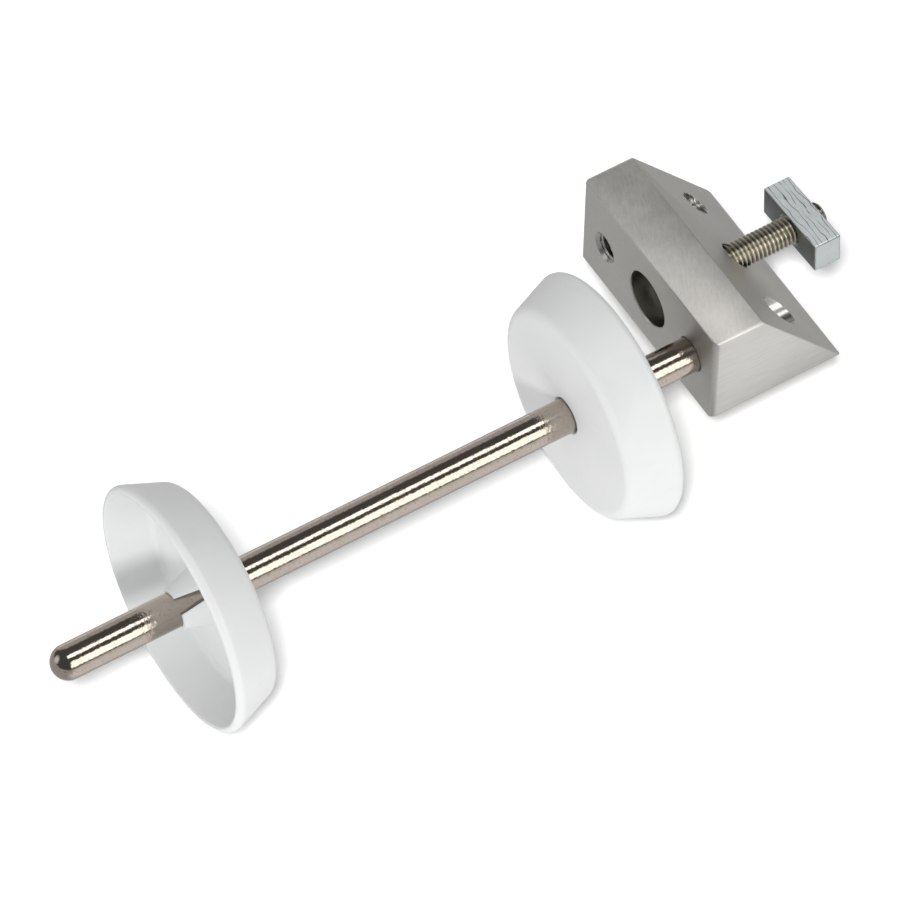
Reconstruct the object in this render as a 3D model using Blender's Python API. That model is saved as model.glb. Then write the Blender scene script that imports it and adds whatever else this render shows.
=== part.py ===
"""Spool holder stand: a clamp block with a rod that carries a spool between two centring cones.

Frame: +Z up, +Y along the clamp screw towards the rail, the rod's free end towards -Y.
The origin is where the clamp screw's axis crosses the block's slanted seat face.
All driving dimensions below are millimetres; MM turns them into metres.
"""
import math

import bmesh
import bpy
from mathutils import Matrix, Vector

MM = 0.001

# Mounting block: a right trapezoid in section, with the slanted seat face at the back.
BLOCK_LENGTH = 40.0
BLOCK_HEIGHT = 20.0
TOP_DEPTH = 9.2
BASE_DEPTH = 25.5
FRONT_Y = -(TOP_DEPTH + BASE_DEPTH) / 2
TOP_BACK_Y = FRONT_Y + TOP_DEPTH
BASE_BACK_Y = FRONT_Y + BASE_DEPTH
CORNER_CHAMFER = 0.8
END_CHAMFER = 0.45
LONG_EDGE_CHAMFER = 0.15
HOLE_PITCH = 13.0
TAPPED_HOLE_X = -HOLE_PITCH
TAPPED_HOLE_Z = -0.6
TAPPED_HOLE_RADIUS = 2.5
TAPPED_MOUTH_RADIUS = 2.9
COUNTERBORE_RADIUS = 5.1
COUNTERBORE_DEPTH = 9.0
CLEARANCE_RADIUS = 2.75
CUT_MARGIN = 5.0

# Rod: pushed into the right-hand bore, with a domed free end.
ROD_RADIUS = 3.0
ROD_FREE_LENGTH = 120.0
ROD_SEATED_LENGTH = 14.0
ROD_X = HOLE_PITCH
ROD_BORE_RADIUS = 3.08
ROD_END_CHAMFER = 0.4
ROD_TIP_Y = FRONT_Y - ROD_FREE_LENGTH
ROD_END_Y = FRONT_Y + ROD_SEATED_LENGTH

# Centring cones: cups with a rounded nose, an open rim and a split, tapered collet hub.
CONE_DEPTH = 9.2
NOSE_RADIUS = 18.6
RIM_RADIUS = 22.2
NOSE_ROUNDING = 2.0
RIM_ROUNDING = 0.7
WALL = 1.6
FLOOR_THICKNESS = 1.8
INNER_FILLET = 1.4
LIP_CHAMFER = 0.35
LIP_DROP = 0.7
CONE_BORE_RADIUS = 3.08
HUB_END_RADIUS = 3.55
HUB_ROOT_RADIUS = 5.1
HUB_LENGTH = 8.4
HUB_FILLET = 0.8
HUB_SLITS = 3
SLIT_MOUTH_WIDTH = 2.8
SLIT_ROOT_WIDTH = 1.3
SLIT_FLOOR_GAP = 0.2
SLIT_MARGIN = 1.2
SLIT_FACING_DEG = 60.0
FRONT_NOSE_Y = FRONT_Y - 89.3
REAR_NOSE_Y = FRONT_Y - 23.9

# Clamp screw: M5 x 25 socket head cap screw, its head sunk in the counterbore.
SCREW_RADIUS = 2.45
SCREW_LENGTH = 25.0
SCREW_TIP_CHAMFER = 0.5
HEAD_RADIUS = 4.25
HEAD_HEIGHT = 5.0
HEAD_CHAMFER = 0.4
SOCKET_ACROSS_FLATS = 4.0
SOCKET_DEPTH = 2.5
SEAT_GAP = 0.05
HEAD_SEAT_Y = FRONT_Y + COUNTERBORE_DEPTH - SEAT_GAP

# Slot nut: a plain rectangular nut, turned a little on the screw.
NUT_LENGTH = 15.5
NUT_WIDTH = 6.0
NUT_THICKNESS = 5.0
NUT_BORE_RADIUS = 2.6
NUT_CHAMFER = 0.25
NUT_NEAR_Y = 10.4
NUT_TURN_DEG = -4.0

# Rod set screw: M4 grub screw from under the block, its point just short of the rod.
GRUB_RADIUS = 1.9
GRUB_LENGTH = 5.0
GRUB_HOLE_RADIUS = 2.0
GRUB_MOUTH_RADIUS = 2.3
GRUB_SOCKET_ACROSS_FLATS = 2.0
GRUB_SOCKET_DEPTH = 1.8
GRUB_CHAMFER = 0.3
GRUB_Y = FRONT_Y + 7.0
GRUB_TOP_Z = -ROD_RADIUS - 0.2

ROUND_STEPS = 48
SMALL_ROUND_STEPS = 32
ARC_STEPS = 4
MERGE = 0.000001
NEARLY = 0.01

TOWARDS_RAIL = Vector((0.0, 1.0, 0.0))
TOWARDS_TIP = Vector((0.0, -1.0, 0.0))
UP = Vector((0.0, 0.0, 1.0))

MATERIALS = {
    "satin_aluminium": ((0.62, 0.61, 0.59, 1.0), 0.42, 1.0),
    "nickel_plate": ((0.66, 0.60, 0.54, 1.0), 0.22, 1.0),
    "white_plastic": ((0.84, 0.86, 0.85, 1.0), 0.45, 0.0),
    "zinc_plate": ((0.60, 0.63, 0.63, 1.0), 0.30, 1.0),
    "screw_steel": ((0.55, 0.51, 0.43, 1.0), 0.30, 1.0),
    "black_steel": ((0.06, 0.06, 0.06, 1.0), 0.45, 1.0),
}


def clear_scene():
    """Remove every object, so that the model starts from nothing."""
    for item in list(bpy.data.objects):
        bpy.data.objects.remove(item, do_unlink=True)


def material(name):
    """Return the named material, made on its first use."""
    found = bpy.data.materials.get(name)
    if found:
        return found
    colour, roughness, metallic = MATERIALS[name]
    made = bpy.data.materials.new(name)
    made.use_nodes = True
    shader = made.node_tree.nodes["Principled BSDF"]
    shader.inputs["Base Color"].default_value = colour
    shader.inputs["Roughness"].default_value = roughness
    shader.inputs["Metallic"].default_value = metallic
    made.diffuse_color = colour
    return made


def turn_to(direction):
    """Rotation that takes +Z onto the given direction."""
    return UP.rotation_difference(direction).to_matrix().to_4x4()


def add_object(name, mesh_data, material_name=None, smooth_angle=None):
    """Close a bmesh into a named object, smooth shaded below the given angle."""
    mesh = bpy.data.meshes.new(name)
    bmesh.ops.remove_doubles(mesh_data, verts=mesh_data.verts, dist=MERGE)
    bmesh.ops.recalc_face_normals(mesh_data, faces=mesh_data.faces)
    mesh_data.to_mesh(mesh)
    mesh_data.free()
    if smooth_angle is not None:
        mesh.shade_smooth()
        mesh.set_sharp_from_angle(angle=math.radians(smooth_angle))
    part = bpy.data.objects.new(name, mesh)
    bpy.context.scene.collection.objects.link(part)
    if material_name:
        mesh.materials.append(material(material_name))
    return part


def place(part, x, y, z, direction=UP):
    """Put an object's origin at a point in millimetres, with its own +Z along a direction."""
    part.matrix_world = Matrix.Translation(Vector((x, y, z)) * MM) @ turn_to(direction)
    return part


def turned_shape(profile, steps=ROUND_STEPS):
    """Spin a profile of (radius, height) points in millimetres about the Z axis."""
    shape = bmesh.new()
    points = [shape.verts.new((radius * MM, 0.0, height * MM)) for radius, height in profile]
    edges = [shape.edges.new(pair) for pair in zip(points, points[1:])]
    if profile[0][0] > 0.0:
        edges.append(shape.edges.new((points[-1], points[0])))
    bmesh.ops.spin(
        shape,
        geom=points + edges,
        cent=(0.0, 0.0, 0.0),
        axis=(0.0, 0.0, 1.0),
        angle=2.0 * math.pi,
        steps=steps,
        use_merge=True,
    )
    return shape


def arc(centre, radius, start_deg, end_deg, steps=ARC_STEPS):
    """Points of an arc, as (radius, height) pairs, from one angle to another."""
    points = []
    for step in range(steps + 1):
        angle = math.radians(start_deg + (end_deg - start_deg) * step / steps)
        points.append((centre[0] + radius * math.cos(angle), centre[1] + radius * math.sin(angle)))
    return points


def cutter(name, shape):
    """Make a bmesh into a cutter that is never rendered."""
    tool = add_object(name, shape)
    tool.hide_render = True
    tool.display_type = "WIRE"
    return tool


def round_cutter(name, radius, length, position, direction, mouth_radius=None, steps=ROUND_STEPS):
    """A cylinder that cuts from a mouth inwards; a wider mouth gives the hole a countersink."""
    outer = radius if mouth_radius is None else mouth_radius
    profile = [(0.0, -CUT_MARGIN), (outer, -CUT_MARGIN), (outer, 0.0)]
    if outer > radius:
        profile.append((radius, outer - radius))
    profile += [(radius, length), (0.0, length)]
    tool = cutter(name, turned_shape(profile, steps))
    return place(tool, *position, direction)


def hexagon_cutter(name, across_flats, depth, position, direction):
    """A six-sided cutter for a hexagon socket."""
    radius = across_flats / 2 / math.cos(math.pi / 6)
    profile = [(0.0, -1.0), (radius, -1.0), (radius, depth), (0.0, depth)]
    tool = cutter(name, turned_shape(profile, 6))
    return place(tool, *position, direction)


def cut(part, tool):
    """Take a cutter away from a part with an exact Boolean."""
    step = part.modifiers.new("cut_" + tool.name, "BOOLEAN")
    step.operation = "DIFFERENCE"
    step.solver = "EXACT"
    step.object = tool


def follow(part, anchor):
    """Parent a part to an anchor without moving it."""
    part.parent = anchor
    part.matrix_parent_inverse = anchor.matrix_world.inverted()


def trapezoid_prism():
    """The block's outline in the YZ plane, extruded along X."""
    half = BLOCK_LENGTH / 2
    low = -BLOCK_HEIGHT / 2
    high = BLOCK_HEIGHT / 2
    outline = [(FRONT_Y, low), (BASE_BACK_Y, low), (TOP_BACK_Y, high), (FRONT_Y, high)]
    shape = bmesh.new()
    corners = [shape.verts.new(Vector((-half, y, z)) * MM) for y, z in outline]
    end_face = shape.faces.new(corners)
    grown = bmesh.ops.extrude_face_region(shape, geom=[end_face])
    moved = [item for item in grown["geom"] if isinstance(item, bmesh.types.BMVert)]
    bmesh.ops.translate(shape, verts=moved, vec=Vector((BLOCK_LENGTH, 0.0, 0.0)) * MM)
    bmesh.ops.recalc_face_normals(shape, faces=shape.faces)
    return shape


def chamfer(shape, chosen, width):
    """Chamfer the edges that a test picks out."""
    edges = [edge for edge in shape.edges if chosen(*(vert.co / MM for vert in edge.verts))]
    bmesh.ops.bevel(shape, geom=edges, offset=width * MM, segments=1, affect="EDGES", profile=0.5)


def same(a, b):
    """True for two lengths in millimetres that agree."""
    return abs(a - b) < NEARLY


def is_front_corner(a, b):
    """True for the two upright edges of the front face."""
    return same(a.y, FRONT_Y) and same(b.y, FRONT_Y) and same(a.x, b.x)


def is_end_edge(a, b):
    """True for the level edges at the top and bottom of the two end faces."""
    on_end = same(abs(a.x), BLOCK_LENGTH / 2) and same(a.x, b.x)
    return on_end and same(abs(a.z), BLOCK_HEIGHT / 2) and same(a.z, b.z)


def is_long_front_edge(a, b):
    """True for the edge between the top and the front face."""
    at_top = same(a.z, BLOCK_HEIGHT / 2) and same(b.z, BLOCK_HEIGHT / 2)
    return at_top and same(a.y, FRONT_Y) and same(b.y, FRONT_Y)


def mounting_block():
    """The machined block with its counterbored, tapped and rod bores."""
    shape = trapezoid_prism()
    chamfer(shape, is_front_corner, CORNER_CHAMFER)
    chamfer(shape, is_end_edge, END_CHAMFER)
    chamfer(shape, is_long_front_edge, LONG_EDGE_CHAMFER)
    block = add_object("mounting_block", shape, "satin_aluminium")
    through = BASE_DEPTH + CUT_MARGIN
    cut(block, round_cutter("cut_counterbore", COUNTERBORE_RADIUS, COUNTERBORE_DEPTH,
                            (0.0, FRONT_Y, 0.0), TOWARDS_RAIL))
    cut(block, round_cutter("cut_clearance", CLEARANCE_RADIUS, through,
                            (0.0, FRONT_Y, 0.0), TOWARDS_RAIL, steps=SMALL_ROUND_STEPS))
    cut(block, round_cutter("cut_tapped_hole", TAPPED_HOLE_RADIUS, through,
                            (TAPPED_HOLE_X, FRONT_Y, TAPPED_HOLE_Z), TOWARDS_RAIL,
                            TAPPED_MOUTH_RADIUS, SMALL_ROUND_STEPS))
    cut(block, round_cutter("cut_rod_bore", ROD_BORE_RADIUS, through,
                            (ROD_X, FRONT_Y, 0.0), TOWARDS_RAIL))
    cut(block, round_cutter("cut_grub_hole", GRUB_HOLE_RADIUS, BLOCK_HEIGHT / 2,
                            (ROD_X, GRUB_Y, -BLOCK_HEIGHT / 2), UP,
                            GRUB_MOUTH_RADIUS, SMALL_ROUND_STEPS))
    return block


def spool_rod():
    """The plated rod, from its chamfered end in the block to its domed free end."""
    length = ROD_FREE_LENGTH + ROD_SEATED_LENGTH
    profile = [(0.0, 0.0), (ROD_RADIUS - ROD_END_CHAMFER, 0.0), (ROD_RADIUS, ROD_END_CHAMFER)]
    profile += arc((0.0, length - ROD_RADIUS), ROD_RADIUS, 0.0, 90.0, 2 * ARC_STEPS)
    rod = add_object("spool_rod", turned_shape(profile), "nickel_plate", 40.0)
    return place(rod, ROD_X, ROD_END_Y, 0.0, TOWARDS_TIP)


def cone_profile():
    """Section of a centring cone, nose at height 0 and open rim upwards, as (radius, height)."""
    lean = math.degrees(math.atan2(RIM_RADIUS - NOSE_RADIUS, CONE_DEPTH))
    slope = math.tan(math.radians(lean))
    reach = 1.0 / math.cos(math.radians(lean))

    def inside_wall(height, inset):
        """Radius of a line parallel to the cone's side, inset from it."""
        return NOSE_RADIUS + height * slope - inset * reach

    rim_height = CONE_DEPTH - RIM_ROUNDING
    lip_height = CONE_DEPTH - LIP_DROP
    fillet_height = FLOOR_THICKNESS + INNER_FILLET
    nose = arc((inside_wall(NOSE_ROUNDING, NOSE_ROUNDING), NOSE_ROUNDING), NOSE_ROUNDING,
               -90.0, -lean)
    rim = arc((inside_wall(rim_height, RIM_ROUNDING), rim_height), RIM_ROUNDING, -lean, 90.0)
    lip = [(inside_wall(CONE_DEPTH, WALL - LIP_CHAMFER), CONE_DEPTH),
           (inside_wall(lip_height, WALL), lip_height)]
    corner = arc((inside_wall(fillet_height, WALL + INNER_FILLET), fillet_height), INNER_FILLET,
                 -lean, -90.0)
    hub = [(HUB_ROOT_RADIUS + HUB_FILLET, FLOOR_THICKNESS),
           (HUB_ROOT_RADIUS, FLOOR_THICKNESS + HUB_FILLET),
           (HUB_END_RADIUS, HUB_LENGTH), (CONE_BORE_RADIUS, HUB_LENGTH)]
    return [(CONE_BORE_RADIUS, 0.0)] + nose + rim + lip + corner + hub


def slit_cutter(name, facing_deg):
    """A wedge that opens one slit in the collet hub, widest at the hub's end."""
    low = FLOOR_THICKNESS + SLIT_FLOOR_GAP
    high = HUB_LENGTH + SLIT_MARGIN
    outer = HUB_ROOT_RADIUS + HUB_FILLET + SLIT_MARGIN
    growth = (SLIT_MOUTH_WIDTH - SLIT_ROOT_WIDTH) / (HUB_LENGTH - low)
    shape = bmesh.new()
    rings = []
    for height in (low, high):
        half = (SLIT_ROOT_WIDTH + growth * (height - low)) / 2
        corners = [(0.0, -half), (outer, -half), (outer, half), (0.0, half)]
        rings.append([shape.verts.new(Vector((x, y, height)) * MM) for x, y in corners])
    shape.faces.new(rings[0])
    shape.faces.new(rings[1])
    for index in range(4):
        after = (index + 1) % 4
        shape.faces.new((rings[0][index], rings[0][after], rings[1][after], rings[1][index]))
    bmesh.ops.rotate(shape, verts=shape.verts, cent=(0.0, 0.0, 0.0),
                     matrix=Matrix.Rotation(math.radians(facing_deg), 3, "Z"))
    return cutter(name, shape)


def centring_cone(name, nose_y, open_direction):
    """One cup-shaped cone on the rod, its rim facing the given direction."""
    cone = add_object(name, turned_shape(cone_profile()), "white_plastic", 35.0)
    place(cone, ROD_X, nose_y, 0.0, open_direction)
    for index in range(HUB_SLITS):
        facing = slit_turn(open_direction) + index * 360.0 / HUB_SLITS
        tool = slit_cutter(f"cut_{name}_slit_{index + 1}", facing)
        place(tool, ROD_X, nose_y, 0.0, open_direction)
        cut(cone, tool)
    return cone


def slit_turn(open_direction):
    """Turn about the cone's own axis that points the first slit up and to the right."""
    wanted = Vector((math.cos(math.radians(SLIT_FACING_DEG)), 0.0, math.sin(math.radians(SLIT_FACING_DEG))))
    local = turn_to(open_direction).inverted() @ wanted
    return math.degrees(math.atan2(local.y, local.x))


def clamp_screw():
    """The socket head cap screw, head in the counterbore and point towards the rail."""
    profile = [(0.0, -HEAD_HEIGHT), (HEAD_RADIUS - HEAD_CHAMFER, -HEAD_HEIGHT),
               (HEAD_RADIUS, HEAD_CHAMFER - HEAD_HEIGHT), (HEAD_RADIUS, 0.0), (SCREW_RADIUS, 0.0),
               (SCREW_RADIUS, SCREW_LENGTH - SCREW_TIP_CHAMFER),
               (SCREW_RADIUS - SCREW_TIP_CHAMFER, SCREW_LENGTH), (0.0, SCREW_LENGTH)]
    screw = add_object("clamp_screw", turned_shape(profile, SMALL_ROUND_STEPS), "screw_steel", 40.0)
    place(screw, 0.0, HEAD_SEAT_Y, 0.0, TOWARDS_RAIL)
    cut(screw, hexagon_cutter("cut_screw_socket", SOCKET_ACROSS_FLATS, SOCKET_DEPTH,
                              (0.0, HEAD_SEAT_Y - HEAD_HEIGHT, 0.0), TOWARDS_RAIL))
    return screw


def slot_nut():
    """The rectangular nut, bored for the screw and turned about the screw's axis."""
    shape = bmesh.new()
    bmesh.ops.create_cube(shape, size=1.0)
    size = Vector((NUT_LENGTH, NUT_THICKNESS, NUT_WIDTH)) * MM
    bmesh.ops.scale(shape, verts=shape.verts, vec=size)
    bmesh.ops.bevel(shape, geom=shape.edges, offset=NUT_CHAMFER * MM, segments=1,
                    affect="EDGES", profile=0.5)
    nut = add_object("slot_nut", shape, "zinc_plate")
    centre = Vector((0.0, NUT_NEAR_Y + NUT_THICKNESS / 2, 0.0)) * MM
    nut.matrix_world = Matrix.Translation(centre) @ Matrix.Rotation(math.radians(NUT_TURN_DEG), 4, "Y")
    cut(nut, round_cutter("cut_nut_bore", NUT_BORE_RADIUS, NUT_THICKNESS + CUT_MARGIN,
                          (0.0, NUT_NEAR_Y, 0.0), TOWARDS_RAIL, steps=SMALL_ROUND_STEPS))
    return nut


def rod_set_screw():
    """The grub screw under the rod, point up."""
    profile = [(0.0, -GRUB_LENGTH), (GRUB_RADIUS - GRUB_CHAMFER, -GRUB_LENGTH),
               (GRUB_RADIUS, GRUB_CHAMFER - GRUB_LENGTH), (GRUB_RADIUS, -GRUB_CHAMFER),
               (GRUB_RADIUS - GRUB_CHAMFER, 0.0), (0.0, 0.0)]
    grub = add_object("rod_set_screw", turned_shape(profile, SMALL_ROUND_STEPS), "black_steel", 40.0)
    place(grub, ROD_X, GRUB_Y, GRUB_TOP_Z)
    cut(grub, hexagon_cutter("cut_grub_socket", GRUB_SOCKET_ACROSS_FLATS, GRUB_SOCKET_DEPTH,
                             (ROD_X, GRUB_Y, GRUB_TOP_Z - GRUB_LENGTH), UP))
    return grub


def main():
    """Model every sub-part, the cones carried by the rod and the nut by the block."""
    clear_scene()
    block = mounting_block()
    rod = spool_rod()
    front = centring_cone("front_cone", FRONT_NOSE_Y, TOWARDS_TIP)
    rear = centring_cone("rear_cone", REAR_NOSE_Y, TOWARDS_RAIL)
    screw = clamp_screw()
    nut = slot_nut()
    grub = rod_set_screw()
    bpy.context.view_layer.update()
    for cone in (front, rear):
        follow(cone, rod)
    for carried in (rod, screw, nut, grub):
        follow(carried, block)


main()
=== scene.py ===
"""Looks of a clamp-on spool holder: a machined block, a plated rod, two centring cones and their fasteners.

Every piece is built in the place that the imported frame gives, in metres, with +Y along the rod
towards the rail and +Z up. The clamp screw's axis is the Y axis.
"""
import math

import bmesh
import bpy
from bpy.props import FloatProperty, FloatVectorProperty, IntProperty, PointerProperty
from mathutils import Matrix, Vector


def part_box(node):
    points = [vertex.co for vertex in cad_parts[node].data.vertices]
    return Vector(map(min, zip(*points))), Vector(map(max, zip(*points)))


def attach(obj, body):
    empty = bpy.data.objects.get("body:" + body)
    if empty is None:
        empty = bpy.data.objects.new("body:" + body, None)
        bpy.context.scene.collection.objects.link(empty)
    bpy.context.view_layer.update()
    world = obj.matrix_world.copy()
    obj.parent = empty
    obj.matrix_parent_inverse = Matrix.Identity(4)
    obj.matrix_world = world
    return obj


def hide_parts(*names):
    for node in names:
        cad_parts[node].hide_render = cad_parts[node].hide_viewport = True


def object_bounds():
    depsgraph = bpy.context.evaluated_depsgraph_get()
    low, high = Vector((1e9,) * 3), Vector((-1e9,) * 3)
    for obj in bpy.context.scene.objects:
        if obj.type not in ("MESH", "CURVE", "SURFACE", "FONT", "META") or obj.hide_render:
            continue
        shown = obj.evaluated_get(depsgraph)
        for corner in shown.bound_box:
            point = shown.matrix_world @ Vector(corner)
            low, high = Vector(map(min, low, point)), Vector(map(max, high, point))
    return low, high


bl_info = {
    "name": "Spool Holder Stand",
    "version": (1, 0, 0),
    "blender": (4, 5, 0),
    "location": "3D View > Sidebar > Spool Holder",
    "description": "Builds a clamp-on spool holder around its fixed frame",
    "category": "Object",
}

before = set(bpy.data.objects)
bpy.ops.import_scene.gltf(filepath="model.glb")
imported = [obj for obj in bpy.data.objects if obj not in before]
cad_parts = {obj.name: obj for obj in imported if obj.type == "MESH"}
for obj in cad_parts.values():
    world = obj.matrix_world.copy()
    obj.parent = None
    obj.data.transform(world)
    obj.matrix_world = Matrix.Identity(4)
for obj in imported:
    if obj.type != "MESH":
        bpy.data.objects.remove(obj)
CAD_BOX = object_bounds()
MM = 0.001

BLOCK_LOW, BLOCK_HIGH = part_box("mounting_block")
ROD_LOW, ROD_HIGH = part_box("spool_rod")
SCREW_LOW, SCREW_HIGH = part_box("clamp_screw")
NUT_LOW, NUT_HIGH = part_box("slot_nut")
GRUB_LOW, GRUB_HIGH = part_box("rod_set_screw")
ROD_X = (ROD_LOW.x + ROD_HIGH.x) / 2
GRUB_Y = (GRUB_LOW.y + GRUB_HIGH.y) / 2
TOP_BACK_Y = max(v.co.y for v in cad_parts["mounting_block"].data.vertices
                 if v.co.z > BLOCK_HIGH.z - 0.1 * MM)

UP = Vector((0.0, 0.0, 1.0))
TO_RAIL = Vector((0.0, 1.0, 0.0))
TO_TIP = Vector((0.0, -1.0, 0.0))
WELD = 0.00000005
PAST = 5.0 * MM  # how far a drill starts and ends outside the block
BORE_STEPS = 96
THREAD_ROWS = 14  # rows of faces in each turn of an outer thread
SMOOTH_METAL = 30.0
SMOOTH_THREAD = 40.0
NEAR, FAR = 1.2, 2.0  # from the rod to the lights, in metres
STRIP_LENGTH = 1.4
MIRROR_Y = 0.319  # the Y part of every direction that the rod mirrors to the camera
WHITE = (1.0, 1.0, 1.0)


# Node trees


class Value:
    """One output in a node tree. Arithmetic on it adds Math nodes to that tree."""

    def __init__(self, graph, socket):
        self.graph = graph
        self.socket = socket

    def math(self, operation, *operands):
        return self.graph.node("ShaderNodeMath", {"operation": operation}, operands)

    def __add__(self, other):
        return self.math("ADD", self, other)

    def __radd__(self, other):
        return self.math("ADD", other, self)

    def __sub__(self, other):
        return self.math("SUBTRACT", self, other)

    def __rsub__(self, other):
        return self.math("SUBTRACT", other, self)

    def __mul__(self, other):
        return self.math("MULTIPLY", self, other)

    def __rmul__(self, other):
        return self.math("MULTIPLY", other, self)

    def __truediv__(self, other):
        return self.math("DIVIDE", self, other)

    def __rtruediv__(self, other):
        return self.math("DIVIDE", other, self)

    def __gt__(self, other):
        return self.math("GREATER_THAN", self, other)

    def __lt__(self, other):
        return self.math("LESS_THAN", self, other)

    def __abs__(self):
        return self.math("ABSOLUTE", self)

    def fraction(self):
        return self.math("FRACT", self)

    def sine(self):
        return self.math("SINE", self)

    def cosine(self):
        return self.math("COSINE", self)

    def smaller(self, other):
        return self.math("MINIMUM", self, other)

    def larger(self, other):
        return self.math("MAXIMUM", self, other)

    def ramp(self, start, end, low=0.0, high=1.0):
        """This value taken smoothly from start..end to low..high, and held beyond."""
        settings = {"interpolation_type": "SMOOTHSTEP"}
        return self.graph.node("ShaderNodeMapRange", settings, (self, start, end, low, high))

    def slope(self, start, end, low=0.0, high=1.0):
        """This value taken straight from start..end to low..high, and held beyond."""
        return self.graph.node("ShaderNodeMapRange", {}, (self, start, end, low, high))


class Graph:
    """A node tree under construction."""

    def __init__(self, tree):
        self.tree = tree

    def feed(self, socket, value):
        """Link a value to a socket, or set it there if it is a plain number or colour."""
        if isinstance(value, Value):
            self.tree.links.new(value.socket, socket)
        else:
            socket.default_value = value

    def node(self, kind, settings=None, inputs=(), output=0):
        """Add a node, set its settings first and then its inputs, and return one output."""
        made = self.tree.nodes.new(kind)
        for name, value in (settings or {}).items():
            setattr(made, name, value)
        numbered = inputs.items() if isinstance(inputs, dict) else enumerate(inputs)
        for key, value in numbered:
            self.feed(made.inputs[key], value)
        return Value(self, made.outputs[output]) if len(made.outputs) else None

    def split(self, vector):
        """The three numbers of a vector."""
        made = self.node("ShaderNodeSeparateXYZ", {}, (vector,)).socket.node
        return [Value(self, socket) for socket in made.outputs]

    def joined(self, x, y, z):
        """A vector of three numbers."""
        return self.node("ShaderNodeCombineXYZ", {}, (x, y, z))

    def scaled(self, vector, factor):
        """A vector times a number."""
        return self.node("ShaderNodeVectorMath", {"operation": "SCALE"}, {0: vector, 3: factor})

    def size_of(self, x, y, z):
        """The length of a vector of three numbers."""
        return self.node("ShaderNodeVectorMath", {"operation": "LENGTH"}, (self.joined(x, y, z),), output=1)


class Finish(Graph):
    """A procedural material under construction, with its patterns measured in millimetres."""

    def __init__(self, name, **fixed):
        self.material = bpy.data.materials.new(name)
        self.material.use_nodes = True
        super().__init__(self.material.node_tree)
        self.shader = self.tree.nodes["Principled BSDF"]
        for socket, value in fixed.items():
            self.shader.inputs[socket.replace("_", " ")].default_value = value

    def place(self):
        """Where a surface point lies in the frame, in millimetres."""
        return self.scaled(self.node("ShaderNodeTexCoord", output=3), 1.0 / MM)

    def facing(self):
        """The surface normal on the piece itself."""
        return self.node("ShaderNodeTexCoord", output=1)

    def noise(self, vector, scale, detail=2.0, roughness=0.5, distortion=0.0):
        """Soft random blotches from 0 to 1, with so many to the millimetre."""
        inputs = {"Vector": vector, "Scale": scale, "Detail": detail, "Roughness": roughness,
                  "Distortion": distortion}
        return self.node("ShaderNodeTexNoise", {}, inputs)

    def streaks(self, vector, stretch, detail=3.0):
        """Fine lines: noise on coordinates that are squeezed by a factor along each axis."""
        squeezed = self.node("ShaderNodeVectorMath", {"operation": "MULTIPLY"}, (vector, stretch))
        return self.noise(squeezed, 1.0, detail, 0.6)

    def tinted(self, colour, amount):
        """A colour made lighter or darker by a number."""
        return self.scaled(colour[:3], amount)

    def bump(self, height, depth):
        """A normal from heights of 0 to 1 that stand for a depth in millimetres."""
        return self.node("ShaderNodeBump", {}, {"Strength": 1.0, "Distance": depth * MM, "Height": height})

    def turned_about(self, axis, vector, angle):
        """A vector turned about one axis of the frame."""
        settings = {"rotation_type": axis + "_AXIS"}
        return self.node("ShaderNodeVectorRotate", settings, {"Vector": vector, "Angle": angle})

    def wear(self, **varying):
        """Feed the shader's sockets that vary over the surface, and return the material."""
        for socket, value in varying.items():
            self.feed(self.shader.inputs[socket.replace("_", " ")], value)
        return self.material


class Grower(Graph):
    """A geometry node tree under construction, with named inputs."""

    def __init__(self, name, **sizes):
        super().__init__(bpy.data.node_groups.new(name, "GeometryNodeTree"))
        face = self.tree.interface
        face.new_socket("Geometry", in_out="INPUT", socket_type="NodeSocketGeometry")
        for size in sizes:
            face.new_socket(size, in_out="INPUT", socket_type=sizes[size])
        face.new_socket("Geometry", in_out="OUTPUT", socket_type="NodeSocketGeometry")
        self.entry = self.tree.nodes.new("NodeGroupInput")

    def given(self, name):
        """One of the tree's inputs."""
        return Value(self, self.entry.outputs[name])

    def finish(self, geometry):
        """End the tree: realise what is instanced and give it its material."""
        solid = self.node("GeometryNodeRealizeInstances", {}, (geometry,))
        painted = self.node("GeometryNodeSetMaterial", {}, {0: solid, 2: self.given("Material")})
        self.node("NodeGroupOutput", {}, (painted,))
        return self.tree


def grow(tree, mesh=None, **values):
    """Run a geometry node tree on a mesh and return the result as a plain mesh that faces outward."""
    carrier = placed("carrier", mesh or bpy.data.meshes.new("seed"))
    modifier = carrier.modifiers.new("grow", "NODES")
    modifier.node_group = tree
    for item in tree.interface.items_tree:
        if item.in_out == "INPUT" and item.name in values:
            modifier[item.identifier] = values[item.name]
    result = applied(carrier)
    carrier.modifiers.remove(modifier)
    bpy.data.objects.remove(carrier)
    shape = bmesh.new()
    shape.from_mesh(result)
    bmesh.ops.recalc_face_normals(shape, faces=shape.faces)
    shape.to_mesh(result)
    shape.free()
    return result


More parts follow.
